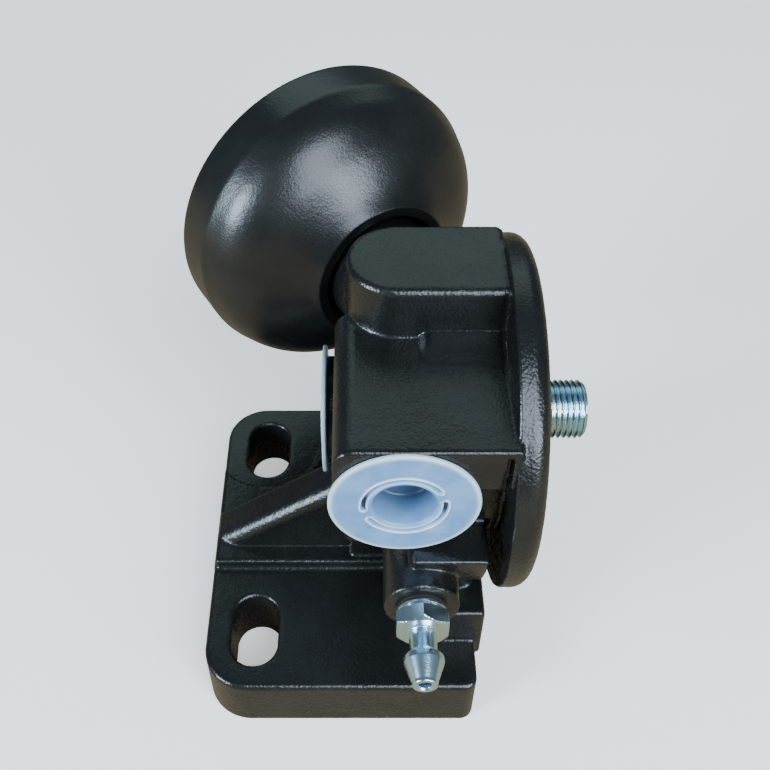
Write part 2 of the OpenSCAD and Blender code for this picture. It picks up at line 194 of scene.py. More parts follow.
def black_paint(name, grain, gloss):
    """Satin black paint over a cast skin: fine grain, soft orange peel, faint dust and rubbed spots."""
    s = Shader(name, Specular_IOR_Level=0.5, Coat_Roughness=0.22)
    skin = s.cells(1500.0, "SMOOTH_F1", 0.6)
    pits = s.noise(620.0, 4.0, 0.62)
    peel = s.noise(150.0, 2.0, 0.5)
    cloud = s.noise(38.0, 4.0, 0.6)
    specks = s.cells(330.0)
    dust = (1 - specks.above(0.02, 0.07)) * cloud.above(0.5, 0.66)
    colour = s.mix(cloud.above(0.35, 0.7), rgb(0.0060, 0.0066, 0.0070), rgb(0.0100, 0.0110, 0.0112))
    colour = s.mix(dust * 0.55, colour, rgb(0.11, 0.11, 0.105))
    rough = gloss + cloud * 0.10 + pits * 0.07
    height = skin * 0.35 + pits * 0.65
    fine = s.bump(height, 0.8 * grain, 0.00024)
    soft = s.bump(peel, 0.35 * grain, 0.0006, fine)
    return s.feed(Base_Color=colour, Roughness=rough, Normal=soft, Coat_Weight=cloud * 0.18)


def zinc_plate(name, tint, gloss):
    """Blue passivated zinc: pale steel with a cool and a faint straw cast, and fine turning marks."""
    s = Shader(name, Metallic=1.0)
    cloud = s.noise(210.0, 4.0, 0.6)
    wide = s.noise(70.0, 2.0, 0.5)
    fine = s.noise(1600.0, 2.0, 0.5)
    bluer = rgb(tint[0] * 0.86, tint[1] * 0.96, tint[2] * 1.04)
    colour = s.mix(cloud.above(0.38, 0.62), rgb(*tint), bluer)
    colour = s.mix(wide.above(0.52, 0.72) * 0.5, colour, rgb(0.72, 0.70, 0.60))
    rough = gloss + cloud * 0.14
    return s.feed(Base_Color=colour, Roughness=rough, Normal=s.bump(fine, 0.25, 0.00006))


def plug_plastic():
    """Milky blue polyethylene with soft mould marks; a painted highlight makes the beads and the rim's edge
    pale, and painted shade darkens the groove's slots and the cup."""
    s = Shader("plug_plastic", Subsurface_Weight=0.25, Subsurface_Scale=0.003, IOR=1.50)
    s.bsdf.inputs["Subsurface Radius"].default_value = (0.8, 1.0, 1.3)
    cloud = s.noise(120.0, 3.0, 0.55)
    marks = s.noise(900.0, 2.0, 0.5)
    # Painted highlight and painted shade, as values stored on each plug's points
    painted_highlight = s.add("ShaderNodeAttribute", {"attribute_name": "painted_highlight"}, output=2)
    shade = s.add("ShaderNodeAttribute", {"attribute_name": "shade"}, output=2)
    colour = s.mix(cloud.above(0.35, 0.68), rgb(0.13, 0.27, 0.52), rgb(0.19, 0.35, 0.58))
    # Painted shade: the groove's open slots and the cup turn dark blue-black
    colour = s.mix(shade, colour, rgb(0.030, 0.050, 0.085))
    # Painted highlight: beads and the rim's edge turn pale blue-white
    colour = s.mix(painted_highlight, colour, rgb(0.74, 0.82, 0.90))
    return s.feed(Base_Color=colour, Roughness=cloud * 0.14 + 0.22, Normal=s.bump(marks, 0.18, 0.00008))


def rubber():
    """Dull black seal rubber with a fine grit."""
    s = Shader("seal_rubber", Specular_IOR_Level=0.4)
    grit = s.noise(1400.0, 3.0, 0.6)
    colour = s.mix(grit, rgb(0.012, 0.012, 0.012), rgb(0.03, 0.03, 0.03))
    return s.feed(Base_Color=colour, Roughness=grit * 0.2 + 0.5, Normal=s.bump(grit, 0.3, 0.00008))


def turned_metal(name, tint, gloss):
    """Machined metal: fine marks and a cloudy tone."""
    s = Shader(name, Metallic=1.0)
    marks = s.noise(1900.0, 2.0, 0.5)
    cloud = s.noise(160.0, 3.0, 0.5)
    colour = s.mix(cloud, rgb(*tint), rgb(*(c * 0.8 for c in tint)))
    return s.feed(Base_Color=colour, Roughness=cloud * 0.12 + gloss, Normal=s.bump(marks, 0.25, 0.00005))


CASTING_PAINT = black_paint("casting_paint", 1.0, 0.19)
KNOB_PAINT = black_paint("knob_paint", 0.45, 0.22)
ZINC = zinc_plate("blue_zinc", (0.62, 0.83, 0.94), 0.18)
PLUG = plug_plastic()
RUBBER = rubber()
STEEL = turned_metal("bright_steel", (0.58, 0.58, 0.60), 0.22)
BRASS = turned_metal("turned_brass", (0.78, 0.60, 0.30), 0.24)


# ---------------------------------------------------------------- surfaces on a grid

def mesh_object(name, points, faces, material, body, replaced, smooth_below=32.0):
    """A finished piece from points in millimetres, riding on a body and standing for CAD nodes.
    Edges sharper than smooth_below degrees stay crisp."""
    mesh = bpy.data.meshes.new(name)
    mesh.from_pydata((points * MM).tolist(), [], faces.tolist())
    mesh.validate()
    mesh.polygons.foreach_set("use_smooth", np.ones(len(mesh.polygons), bool))
    mesh.set_sharp_from_angle(angle=math.radians(smooth_below))
    mesh.materials.append(material)
    piece = bpy.data.objects.new(name, mesh)
    bpy.context.scene.collection.objects.link(piece)
    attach(piece, body)
    for node in replaced:
        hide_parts(node)
    return piece


def closed_grid_faces(rows, columns):
    """Quads of a grid whose rows and columns both close on themselves."""
    i, j = np.meshgrid(np.arange(rows), np.arange(columns), indexing="ij")
    i2, j2 = (i + 1) % rows, (j + 1) % columns
    quads = np.stack([i * columns + j, i * columns + j2, i2 * columns + j2, i2 * columns + j], -1)
    return quads.reshape(-1, 4)


def axis_frame(axis):
    """Two unit vectors square to an axis, right-handed with it."""
    axis = np.array(axis, float) / np.linalg.norm(axis)
    helper = np.array([0.0, 0.0, 1.0]) if abs(axis[2]) < 0.9 else np.array([1.0, 0.0, 0.0])
    first = np.cross(helper, axis)
    first /= np.linalg.norm(first)
    return axis, first, np.cross(axis, first)


def around(centre, axis, radius, height, turn):
    """Points at a radius, a height along the axis and a turn about it, as arrays of one shape."""
    axis, first, second = axis_frame(axis)
    side = np.cos(turn)[..., None] * first + np.sin(turn)[..., None] * second
    return centre + height[..., None] * axis + radius[..., None] * side


def resample(outline, step):
    """A closed outline of (radius, height) corners, with points no further apart than step."""
    ring = np.vstack([outline, outline[:1]])
    parts = []
    for a, b in zip(ring[:-1], ring[1:]):
        count = max(1, int(math.ceil(np.linalg.norm(b - a) / step)))
        parts.append(a + (b - a) * (np.arange(count) / count)[:, None])
    return np.vstack(parts)


def rounded(corners, default=0.0, arc_steps=5):
    """A closed outline from (radius, height, rounding) corners, each an arc tangent to both sides."""
    out = []
    count = len(corners)
    nearly_straight = math.pi / 2 - 0.02
    most_of_side = 0.49
    for k in range(count):
        before, here, after = (np.array(corners[(k + d) % count][:2], float) for d in (-1, 0, 1))
        r = corners[k][2] if len(corners[k]) > 2 else default
        u, v = before - here, after - here
        lu, lv = np.linalg.norm(u), np.linalg.norm(v)
        if r <= 0 or lu < TINY or lv < TINY:
            out.append(here)
            continue
        u, v = u / lu, v / lv
        half = math.acos(np.clip(u @ v, -1, 1)) / 2
        if half > nearly_straight:
            out.append(here)
            continue
        cut = min(r / math.tan(half), most_of_side * lu, most_of_side * lv)
        radius = cut * math.tan(half)
        middle = here + (u + v) / np.linalg.norm(u + v) * (radius / math.sin(half))
        a = here + u * cut - middle
        b = here + v * cut - middle
        for t in np.linspace(0, 1, arc_steps + 1):
            w = a * (1 - t) + b * t
            out.append(middle + w / np.linalg.norm(w) * radius)
    return np.array(out)


def turned(name, outline, centre, axis, material, body, replaced, step):
    """A lathe piece: a closed outline of radius and height, carried round an axis."""
    columns = 192
    ring = resample(outline, step)
    turn = np.arange(columns) * 2 * math.pi / columns
    radius = np.broadcast_to(ring[:, :1], (len(ring), columns))
    height = np.broadcast_to(ring[:, 1:], (len(ring), columns))
    points = around(centre, axis, radius, height, np.broadcast_to(turn, radius.shape)).reshape(-1, 3)
    faces = closed_grid_faces(len(ring), columns)
    area = np.sum(ring[:, 0] * np.roll(ring[:, 1], -1) - np.roll(ring[:, 0], -1) * ring[:, 1])
    if area < 0:
        faces = faces[:, ::-1]
    return mesh_object(name, points, faces, material, body, replaced)


# ---------------------------------------------------------------- the casting, as a field of distances

def rounded_union(a, b, r):
    """Both solids, with a circular fillet of radius r where they meet."""
    return np.maximum(r, np.minimum(a, b)) - np.hypot(np.maximum(r - a, 0), np.maximum(r - b, 0))


def rounded_common(a, b, r):
    """The common part of two solids, with its edge rounded to radius r."""
    return np.minimum(-r, np.maximum(a, b)) + np.hypot(np.maximum(r + a, 0), np.maximum(r + b, 0))


def carved(a, b, r):
    """Solid a without solid b, with the cut's edge rounded to radius r."""
    return rounded_common(a, -b, r)


def block(p, low, high, r):
    """A box with all edges rounded to radius r."""
    low, high = np.array(low, float), np.array(high, float)
    q = np.abs(p - (low + high) / 2) - (high - low) / 2 + r
    return np.linalg.norm(np.maximum(q, 0), axis=-1) + np.minimum(q.max(-1), 0) - r


def rod(p, centre, axis, radius, start, end, r):
    """A cylinder between two distances along its axis, with its end edges rounded to radius r."""
    axis = np.array(axis, float) / np.linalg.norm(axis)
    v = p - np.array(centre, float)
    along = v @ axis
    across = np.linalg.norm(v - along[..., None] * axis, axis=-1)
    ends = np.abs(along - (start + end) / 2) - (end - start) / 2
    return rounded_common(across - radius, ends, r)


def capsule_2d(x, y, centre, half, radius):
    """Distance to a slot outline that runs along y."""
    dy = np.maximum(np.abs(y - centre[1]) - half, 0)
    return np.hypot(x - centre[0], dy) - radius


def outline_2d(x, y, low, high, r):
    """Distance to a rectangle with corners of radius r."""
    qx = np.abs(x - (low[0] + high[0]) / 2) - (high[0] - low[0]) / 2 + r
    qy = np.abs(y - (low[1] + high[1]) / 2) - (high[1] - low[1]) / 2 + r
    return np.hypot(np.maximum(qx, 0), np.maximum(qy, 0)) + np.minimum(np.maximum(qx, qy), 0) - r


def plate_field(p):
    """Plate, the raised band across it, which keeps clear of the far slot, and the foot of the body."""
    x, y, z = p[..., 0], p[..., 1], p[..., 2]
    free_corner, body_corner, overlap = 13.0, 4.0, 20
    plate_edge, band_edge, band_fillet, foot_edge, foot_fillet = 1.3, 0.8, 1.6, 1.2, 0.8
    band_inset, band_near, band_past, band_rise, sunk = 0.8, -12.5, 12, 3.0, 4
    slot_clearance = 17.4
    foot_from, foot_past, foot_half, foot_sunk, foot_rise = 20, 2, 37, 8, 14
    left = outline_2d(x, y, (PLATE_X0, -PLATE_HALF), (PLATE_X1 - overlap, PLATE_HALF), free_corner)
    right = outline_2d(x, y, (BODY_X, -PLATE_HALF), (PLATE_X1, PLATE_HALF), body_corner)
    plate = np.maximum(rounded_common(np.minimum(left, right), z - PLATE_T, plate_edge), -z)
    band_low = (PLATE_X0 + band_inset, band_near)
    band_out = outline_2d(x, y, band_low, (BODY_X + band_past, SLOT_Y - 1.5), 1.0)
    near_slot = slot_clearance - np.hypot(x, y - SLOT_Y)
    band = rounded_common(np.maximum(band_out, near_slot), z - PLATE_T - band_rise, band_edge)
    band = np.maximum(band, PLATE_T - sunk - z)
    both = rounded_union(plate, band, band_fillet)
    foot_low = (BODY_X + foot_from, -foot_half, PLATE_T - foot_sunk)
    foot_high = (PLATE_X1 + foot_past, foot_half, PLATE_T + foot_rise)
    return rounded_union(both, block(p, foot_low, foot_high, foot_edge), foot_fillet)


def gusset_field(p):
    """Rib from the plate's free edge up to the body, with a flat sloping top and rounded edges."""
    x, y, z = p[..., 0], p[..., 1], p[..., 2]
    low_x = PLATE_X0 + 1
    slope = math.atan(0.74)
    start_rise, far_side, near_side, far_edge, near_edge = 3.5, 5.6, -6.6, 1.2, 5.0
    into_body, sunk = 8, 4
    top = (z - PLATE_T - start_rise) * math.cos(slope) - (x - low_x) * math.sin(slope)
    rib = rounded_common(top, near_side - y, near_edge)
    rib = rounded_common(rib, y - far_side, far_edge)
    rib = np.maximum(rib, low_x - x)
    rib = np.maximum(rib, x - BODY_X - into_body)
    return np.maximum(rib, PLATE_T - sunk - z)


def box_field(p):
    """Box at the top of the body: a half round left end and a square right end against the flange."""
    x, y, z = p[..., 0], p[..., 1], p[..., 2]
    middle_y, half = 10, 13
    end_x = BODY_X + half + 1
    top_edge, corner, height = 1.8, 2.2, 22
    round_end = np.hypot(np.maximum(end_x - x, 0), y - middle_y) - half
    square_low = (BODY_X + 6, middle_y - half)
    square_end = outline_2d(x, y, square_low, (FLANGE_X + 0.5, middle_y + half), corner)
    box = rounded_common(np.where(x < end_x, round_end, square_end), z - BOX_TOP, top_edge)
    return np.maximum(box, AXIS_H - height - z)


def front_block_field(p):
    """Block that carries the front port, with a rolled left edge."""
    x, y, z = p[..., 0], p[..., 1], p[..., 2]
    overhang, roll, height, back = 2, 5.5, 14, 6
    front_edge, right_edge, low_edge = 0.9, 0.8, 1.2
    part = rounded_common(BODY_X - overhang - x, z - BLOCK_TOP, roll)
    part = rounded_common(part, FRONT_PORT[1] - y, front_edge)
    part = rounded_common(part, x - (FLANGE_X + 1.0), right_edge)
    part = rounded_common(part, BLOCK_TOP - height - z, low_edge)
    return np.maximum(part, y - back)


def lip_field(p, drum_x):
    """Lip round the front of the drum, cut off flat at the ledge."""
    rim_inset, edge, back = 2, 0.9, 8
    lip = rod(p, (0, 0, AXIS_H), RIGHT, FLANGE_R - rim_inset, drum_x - 1, FLANGE_X - 4, edge)
    lip = rounded_common(lip, p[..., 2] - LEDGE_Z, 0.8)
    return np.maximum(lip, p[..., 1] - back)


def body_field(p):
    """Box, front block, drum, wall and core of the head, with cast fillets between them."""
    drum_l, drum_inset, sunk = 22, 15, 2
    column_half, neck_half, below_axis = 28, 10, AXIS_H - 6
    wall_low, core_low = LEDGE_Z - 10, LEDGE_Z - 18
    drum_x = FLANGE_X - drum_l
    foot_z = PLATE_T - sunk
    drum = rod(p, (0, 0, AXIS_H), RIGHT, FLANGE_R - drum_inset, drum_x, FLANGE_X + sunk, 4.0)
    wall = block(p, (BODY_X, -33, wall_low), (drum_x + 4, 10, BLOCK_TOP - 8), 2.5)
    core = block(p, (BODY_X, -6, core_low), (FLANGE_X - sunk, 25, AXIS_H), 3.0)
    column = block(p, (BODY_X + 20, -column_half, foot_z), (FLANGE_X - 4, column_half, below_axis), 3.0)
    neck = block(p, (BODY_X + 2, -neck_half, foot_z), (FLANGE_X - 6, neck_half, below_axis), 1.0)
    head = rounded_union(box_field(p), front_block_field(p), 1.1)
    lip = lip_field(p, drum_x)
    parts = ((drum, 0.35), (wall, 2.0), (core, 2.5), (lip, 1.4), (column, 3.0), (neck, 3.0))
    for part, fillet in parts:
        head = rounded_union(head, part, fillet)
    return head


def flange_field(p):
    """Round flange with a rounded rim; its seat is a turned face."""
    front_edge, back_edge = 4.5, 0.8
    rim = np.hypot(p[..., 1], p[..., 2] - AXIS_H) - FLANGE_R
    disc = rounded_common(rim, p[..., 0] - SEAT_X, front_edge)
    return rounded_common(disc, FLANGE_X - p[..., 0], back_edge)


def bosses_field(p):
    """Pump's tube with its collar, front port, side port and bleed boss, each with its fillet."""
    root, tube_end, collar_end, collar_rise = -56, -18, -41, 3
    front_r, side_r, bleed_r, face_edge = 17.0, 15.0, 9.6, 0.6
    tube = rod(p, PUMP_AT, PUMP_AXIS, TUBE_R, root, tube_end, 0.8)
    collar = rod(p, PUMP_AT, PUMP_AXIS, TUBE_R + collar_rise, root, collar_end, 1.5)
    front = rod(p, FRONT_PORT, FRONT, front_r, -22, 0, face_edge)
    side = rod(p, SIDE_PORT, LEFT, side_r, -18, 0, face_edge)
    bleed = rod(p, BLEED_AT, FRONT, bleed_r, -32, 0, 0.7)
    return (rounded_union(tube, collar, 2.0), 3.0), (front, 1.5), (side, 2.5), (bleed, 0.9)


def holes_fields(p):
    """Ports, bleed hole, pump's bore in two steps, stud's hole, and the ring-shaped chamber."""
    seat = (SEAT_X, 0, AXIS_H)
    port_r, port_deep, past = 10.25, -14, 5
    bleed_r, bore_r, gland_r, stud_r = 4.05, 12.0, 13.5, 7.2
    chamber_r, chamber_deep, hub_r, hub_drop = 29.0, -6, 13.0, -3
    chamber = rod(p, seat, RIGHT, chamber_r, chamber_deep, past, 0.8)
    hub = rod(p, seat, RIGHT, hub_r, chamber_deep - 2, hub_drop, 0.8)
    return [
        rod(p, FRONT_PORT, FRONT, port_r, port_deep, past, SOFT_MACHINED),
        rod(p, SIDE_PORT, LEFT, port_r, port_deep, past, SOFT_MACHINED),
        rod(p, BLEED_AT, FRONT, bleed_r, -20, past, SOFT_MACHINED),
        rod(p, PUMP_AT, PUMP_AXIS, bore_r, -44, 0, SOFT_MACHINED),
        rod(p, PUMP_AT, PUMP_AXIS, gland_r, -25, 0, SOFT_MACHINED),
        rod(p, seat, RIGHT, stud_r, -18, past, SOFT_MACHINED),
        np.maximum(chamber, -hub),
    ]


def casting_field(p):
    """Signed distance to the whole casting, in millimetres, negative inside."""
    plate_fillet, gusset_fillet, flange_fillet = 1.2, 0.7, 0.9
    slot_edge, hole_edge, gap_edge = 1.0, 0.35, 0.3
    solid = body_field(p)
    for boss, fillet in bosses_field(p):
        solid = rounded_union(solid, boss, fillet)
    solid = rounded_union(solid, plate_field(p), plate_fillet)
    solid = rounded_union(solid, gusset_field(p), gusset_fillet)
    solid = rounded_union(solid, flange_field(p), flange_fillet)
    # A narrow gap parts the front block from the flange
    gap_low = (FLANGE_X - 2.6, FRONT_PORT[1] - 9, AXIS_H - 30)
    gap_high = (FLANGE_X - 0.9, FRONT_PORT[1] + 4, BLOCK_TOP - 2)
    solid = carved(solid, block(p, gap_low, gap_high, gap_edge), gap_edge)
    for place in (-SLOT_Y, SLOT_Y):
        slot = capsule_2d(p[..., 0], p[..., 1], (0, place), SLOT_HALF - SLOT_R, SLOT_R)
        solid = carved(solid, slot, slot_edge)
    for hole in holes_fields(p):
        solid = carved(solid, hole, hole_edge)
    return solid


def gradient(field, p, step=0.05):
    """Unit slope of the field at each point, from four corners of a tetrahedron."""
    corners = np.array([[1, -1, -1], [-1, -1, 1], [-1, 1, -1], [1, 1, 1]], float)
    total = sum(c * field(p + step * c)[:, None] for c in corners)
    return total / np.maximum(np.linalg.norm(total, axis=1, keepdims=True), TINY)


def field_mesh(field, low, high, cell):
    """Dual contouring: one point in each cell that the surface crosses, placed where the tangent
    planes at its crossed edges meet, and one quad round each crossed edge."""
    refinements = 3
    pull = 0.06
    leeway = 0.15
    counts = np.ceil((high - low) / cell).astype(int) + 1
    axes = [low[k] + cell * np.arange(counts[k]) for k in range(3)]
    value = np.empty(counts)
    for i in range(counts[0]):
        plane = np.stack(np.meshgrid(axes[0][i:i + 1], axes[1], axes[2], indexing="ij"), -1)
        value[i] = field(plane)[0]
    inside = value < 0
    normal_sum = np.zeros((*(counts - 1), 6))
    right_sum = np.zeros((*(counts - 1), 3))
    point_sum = np.zeros((*(counts - 1), 4))
    crossings = []
    for k in range(3):
        a = [slice(None)] * 3
        b = [slice(None)] * 3
        a[k], b[k] = slice(None, -1), slice(1, None)
        crossed = inside[tuple(a)] != inside[tuple(b)]
        index = np.argwhere(crossed)
        start = low + index * cell
        v0 = value[tuple(a)][crossed]
        v1 = value[tuple(b)][crossed]
        t0, t1 = np.zeros(len(index)), np.ones(len(index))
        unit = np.eye(3)[k] * cell
        for _ in range(refinements):
            t = t0 + (t1 - t0) * np.clip(v0 / (v0 - v1), 0.03, 0.97)
            v = field(start + t[:, None] * unit)
            same = (v < 0) == (v0 < 0)
            t0, v0 = np.where(same, t, t0), np.where(same, v, v0)
            t1, v1 = np.where(same, t1, t), np.where(same, v1, v)
        t = t0 + (t1 - t0) * np.clip(v0 / (v0 - v1), 0, 1)
        hit = start + t[:, None] * unit
        normal = gradient(field, hit)
        crossings.append((k, index, inside[tuple(a)][crossed]))
        others = [m for m in range(3) if m != k]
        for du in (0, 1):
            for dv in (0, 1):
                home = index.copy()
                home[:, others[0]] -= du
                home[:, others[1]] -= dv
                ok = (home >= 0).all(1) & (home < counts - 1).all(1)
                h, n, q = home[ok], normal[ok], hit[ok]
                flat = np.ravel_multi_index(h.T, counts - 1)
                products = np.stack([n[:, 0] ** 2, n[:, 0] * n[:, 1], n[:, 0] * n[:, 2],
                                     n[:, 1] ** 2, n[:, 1] * n[:, 2], n[:, 2] ** 2], 1)
                along = (n * q).sum(1)[:, None]
                counted = np.c_[q, np.ones(len(q))]
                sums = ((normal_sum, products), (right_sum, n * along), (point_sum, counted))
                for table, columns in sums:
                    shaped = table.reshape(-1, table.shape[-1])
                    for c in range(columns.shape[1]):
                        shaped[:, c] += np.bincount(flat, columns[:, c], len(shaped))
    used = point_sum[..., 3] > 0
    number = np.full(used.shape, -1)
    number[used] = np.arange(used.sum())
    mean = point_sum[used][:, :3] / point_sum[used][:, 3:]
    m = normal_sum[used]
    matrix = m[:, [0, 1, 2, 1, 3, 4, 2, 4, 5]].reshape(-1, 3, 3)
    matrix = matrix + pull * np.eye(3)
    right = right_sum[used] + pull * mean
    points = np.linalg.solve(matrix, right[..., None])[..., 0]
    corner = low + np.argwhere(used) * cell
    points = np.clip(points, corner - leeway * cell, corner + (1 + leeway) * cell)
    quads = []
    for k, index, starts_inside in crossings:
        u, v = [m for m in range(3) if m != k]
        keep = (index[:, u] > 0) & (index[:, u] < counts[u] - 1)
        keep &= (index[:, v] > 0) & (index[:, v] < counts[v] - 1)
        index, starts_inside = index[keep], starts_inside[keep]
        ring = []
        for du, dv in ((1, 1), (0, 1), (0, 0), (1, 0)):
            home = index.copy()
            home[:, u] -= du
            home[:, v] -= dv
            ring.append(number[tuple(home.T)])
        quad = np.stack(ring, 1)
        flip = starts_inside if k != 1 else ~starts_inside
        quad[~flip] = quad[~flip][:, ::-1]
        quads.append(quad)
    return points, np.vstack(quads)


def cast_head():
    """The casting, meshed from its field, with corner normals read from the field itself."""
    cell = 1.15
    margin_low, margin_high = 1.7, 2.3
    toward_centre, probe_step = 0.3, 0.12
    low = CASTING_LOW - margin_low * cell
    high = CASTING_HIGH + margin_high * cell
    points, faces = field_mesh(casting_field, low, high, cell)
    points[:, 2] = np.maximum(points[:, 2], 0.0)
    piece = mesh_object("casting", points, faces, CASTING_PAINT, "head",
                        ["head_casting"], 180.0)
    mesh = piece.data
    loops = np.empty(len(mesh.loops), int)
    mesh.loops.foreach_get("vertex_index", loops)
    totals = np.empty(len(mesh.polygons), int)
    mesh.polygons.foreach_get("loop_total", totals)
    centres = np.empty(len(mesh.polygons) * 3)
    mesh.polygons.foreach_get("center", centres)
    centres = np.repeat(centres.reshape(-1, 3) / MM, totals, axis=0)
    corner = points[loops]
    probe = corner + toward_centre * (centres - corner)
    mesh.normals_split_custom_set(gradient(casting_field, probe, probe_step).tolist())
    return piece


# ---------------------------------------------------------------- the pump

def skirt_curve(mouth, edge, slope):
    """Cubic curve from the mouth to the dome's edge: it leaves the mouth aslant and meets the dome
    along the dome's own slope. Both ends' speeds are the straight distance between them."""
    reach = np.linalg.norm(edge - mouth)
    arrive = np.array([0.67, 0.745]) * reach
    leave = slope * reach / np.linalg.norm(slope)
    t = np.linspace(0, 1, 20)[:-1, None]
    from_mouth = mouth * (2 * t ** 3 - 3 * t ** 2 + 1) + arrive * (t ** 3 - 2 * t ** 2 + t)
    return from_mouth + edge * (3 * t ** 2 - 2 * t ** 3) + leave * (t ** 3 - t ** 2)


def knob_bell():
    """Bell of the knob: a dome whose section is a quarter of an ellipse, met by a short cone at a
    soft crease below the straight rim, a skirt whose section is a cubic curve down to the neck, and
    a hollow inside that clears the tube."""
    crease, cone_from = 0.8, -5.0
    cavity = TUBE_R + 1.5
    mouth_r, shelf_r = cavity + 3.0, cavity + 3
    wall, screw_r, hub_r = 3.0, 3.1, 9.0
    web_low, web_high, hub_high = -8.5, -4.5, -1.5
    dome_r = KNOB_R - crease
    dome = [(dome_r * math.sqrt(1 - (h / BELL_L) ** 2), h) for h in np.linspace(DOME_LOW, cone_from, 20)]
    edge = np.array(dome[0])
    skirt = skirt_curve(np.array([mouth_r, -BELL_L]), edge, np.array(dome[1]) - edge)
    corners = [(cavity, web_low, 0.6), (cavity, -BELL_L, 0.6), (*skirt[0], 1.0)]
    corners += [tuple(c) for c in skirt[2:]] + dome
    corners += [(KNOB_R, -0.3, 5.0), (KNOB_R, KNOB_RIM - 0.4, 3.4), (KNOB_R - 2.6, KNOB_RIM, 0.4)]
    corners += [(KNOB_R - wall, KNOB_RIM - 0.6), (KNOB_R - wall, -1.0, 2.0)]
    corners += [(edge[0] - 4.5, DOME_LOW + 2, 1.5), (shelf_r, DOME_LOW + 2, 1.0)]
    corners += [(shelf_r, web_high, 0.5), (hub_r, web_high, 0.5), (hub_r, hub_high, 0.3)]
    corners += [(screw_r, hub_high), (screw_r, web_low)]
    return turned("knob_bell", rounded(corners), PUMP_AT, PUMP_AXIS, KNOB_PAINT,
                  "plunger", ["pump_knob"], 1.2)


def knob_cover():
    """Palm cover: a shallow dome, part of a sphere's section, with a rolled edge, set in the rim."""
    seat, half_angle, rise, lip = KNOB_R - 3.05, 0.23, 5.2, 3
    base = KNOB_RIM - 0.4
    axis_gap = 0.001
    dome = [(seat * math.sin(a) / math.sin(half_angle),
             base + rise * (math.cos(a) - math.cos(half_angle)) / (1 - math.cos(half_angle)), 0.0)
            for a in np.linspace(0.225, 0.0, 18)]
    corners = [(axis_gap, KNOB_RIM - lip, 0), (seat - lip, KNOB_RIM - lip, 0.3)]
    corners += [(seat - lip, KNOB_RIM - 2 * lip, 0), (seat, KNOB_RIM - 2 * lip, 0.3)]
    corners += [(seat, KNOB_RIM - 1.2, 0.9)]
    corners += dome[:-1] + [(axis_gap, dome[-1][1], 0)]
    return turned("knob_cover", rounded(corners), PUMP_AT, PUMP_AXIS, KNOB_PAINT,
                  "plunger", ["knob_cap"], 1.6)


# ---------------------------------------------------------------- stud, bleed screw and plugs

def threaded_stud():
    """Stud whose radius is the thread's crest less a rounded tooth that climbs one pitch a turn,
    met by the cone of its end chamfer, and a plain hole through it."""
    pitch, depth, hole, columns = 1.5, 0.82, 4.0, 120
    row_step, sunk, land = 0.15, 4, 0.15
    flank, crest_width = 2.3, 0.12
    chamfer, chamfer_slope = 1.1, 0.95
    length = STUD_HIGH[0] - STUD_LOW[0]
    radius = (STUD_HIGH[2] - STUD_LOW[2]) / 2
    height = np.append(np.arange(SEAT_X - STUD_LOW[0] - sunk, length, row_step), length)
    turn = np.arange(columns) * 2 * math.pi / columns
    h, t = np.meshgrid(height, turn, indexing="ij")
    phase = (h / pitch - t / (2 * math.pi)) % 1.0
    tooth = np.clip(np.abs(phase - 0.5) * flank - crest_width, 0, 1)
    outer = radius - depth * (1 - tooth)
    outer = np.minimum(outer, radius - chamfer + (length - h) * chamfer_slope)
    rows, heights = [outer], [h]
    ends = ((outer[-1].mean() - land, length), (hole + 0.5, length), (hole, length - 0.5),
            (hole, 0.0), (radius - depth, 0.0))
    for r, z in ends:
        rows.append(np.full((1, columns), r))
        heights.append(np.full((1, columns), z))
    r, z = np.vstack(rows), np.vstack(heights)
    foot = np.array([STUD_LOW[0], 0, AXIS_H])
    points = around(foot, RIGHT, r, z, np.broadcast_to(turn, r.shape)).reshape(-1, 3)
    faces = closed_grid_faces(len(r), columns)[:, ::-1]
    return mesh_object("stud", points, faces, ZINC, "head", ["filter_stud"], 40.0)


